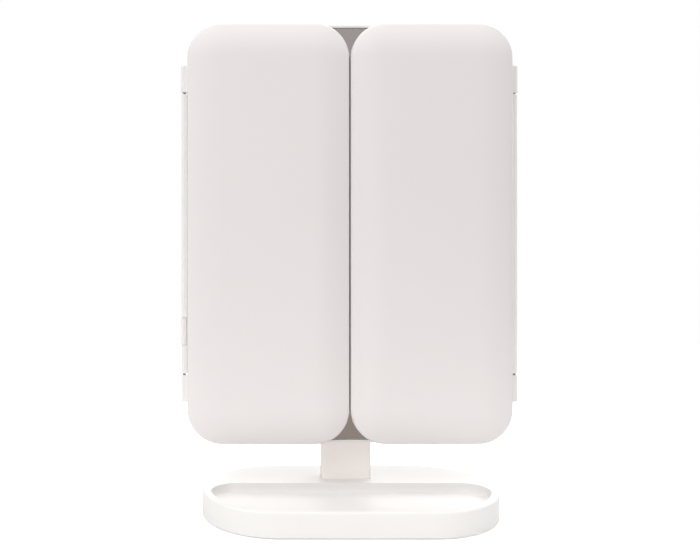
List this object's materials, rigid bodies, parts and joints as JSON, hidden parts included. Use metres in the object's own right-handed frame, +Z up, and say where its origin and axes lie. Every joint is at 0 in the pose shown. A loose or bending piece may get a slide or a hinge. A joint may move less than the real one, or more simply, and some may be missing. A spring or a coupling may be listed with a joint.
{
  "type": "trifold vanity mirror",
  "caption": "Lit table mirror with folding side mirrors over a tilting centre panel on a trayed base, shown closed.",
  "frame": {"origin": "centre of the base's outline at table level, under the rubber feet", "axes": "+Z up, +X to the right of the person who sits at the mirror, -Y towards that person"},
  "size_m": [0.2542, 0.116, 0.3673],
  "materials": {
    "housing": "satin off-white moulded plastic",
    "frame_plastic": "satin off-white moulded plastic",
    "cover_plastic": "matte off-white moulded plastic",
    "mirror_glass": "polished silvered glass",
    "foot_rubber": "soft matte grey rubber",
    "weight_iron": "dull dark steel plate",
    "sheet_steel": "pressed steel",
    "fastener_steel": "plated steel",
    "sleeve_brass": "dull bronze",
    "diffuser": "milky frosted plastic",
    "circuit_board": "white lacquered circuit board",
    "dark_component": "black moulded component",
    "chip_yellow": "yellow phosphor over a white chip",
    "plunger_plastic": "dark grey plastic",
    "battery_wrap": "silver-grey foil pouch"
  },
  "bodies": {
    "stand": {"base_shell": "housing", "base_bottom_cover": "cover_plastic", "base_screws": "fastener_steel", "rubber_feet": "foot_rubber", "base_weight": "weight_iron", "weight_screws": "fastener_steel", "neck_bracket": "sheet_steel", "bracket_screws": "fastener_steel", "neck_front_shell": "housing", "neck_rear_shell": "housing", "neck_screws": "fastener_steel", "tilt_pin": "fastener_steel", "tilt_nut": "fastener_steel", "tilt_washers": "fastener_steel"},
    "head": {"centre_front_frame": "frame_plastic", "centre_mirror": "mirror_glass", "centre_rear_shell": "housing", "frame_screws": "fastener_steel", "tilt_lug": "sheet_steel", "lug_screws": "fastener_steel", "right_light_diffuser": "diffuser", "left_light_diffuser": "diffuser", "right_light_board": "circuit_board", "left_light_board": "circuit_board", "light_chips": "chip_yellow", "left_hinge_rail": "frame_plastic", "right_hinge_rail": "frame_plastic", "rail_screws": "fastener_steel", "hinge_sleeves": "sleeve_brass", "tact_switch": "dark_component", "switch_board": "circuit_board", "control_board": "circuit_board", "board_chips": "dark_component", "charging_socket": "sheet_steel", "battery": "battery_wrap"},
    "side_button": {"power_button": "frame_plastic", "switch_plunger": "plunger_plastic"},
    "left_wing": {"left_wing_shell": "housing", "left_wing_frame": "frame_plastic", "left_wing_mirror": "mirror_glass", "left_hinge_knuckles": "frame_plastic", "left_hinge_pins": "fastener_steel"},
    "right_wing": {"right_wing_shell": "housing", "right_wing_frame": "frame_plastic", "right_wing_mirror": "mirror_glass", "right_hinge_knuckles": "frame_plastic", "right_hinge_pins": "fastener_steel"}
  },
  "joints": [
    {"name": "head_tilt", "type": "hinge", "parent": "stand", "child": "head", "pos_m": [0, 0.026, 0.15], "axis": [-1, 0, 0], "range_deg": [0, 30]},
    {"name": "left_wing_fold", "type": "hinge", "parent": "head", "child": "left_wing", "pos_m": [-0.1246, 0, 0.2098], "axis": [0, 0, -1], "range_deg": [0, 180]},
    {"name": "right_wing_fold", "type": "hinge", "parent": "head", "child": "right_wing", "pos_m": [0.1246, 0, 0.2098], "axis": [0, 0, 1], "range_deg": [0, 180]},
    {"name": "side_button_press", "type": "slide", "parent": "head", "child": "side_button", "axis": [1, 0, 0], "range_m": [0, 0.0008], "stiffness_N_per_m": 1500, "springref_m": -0.0005}
  ]
}
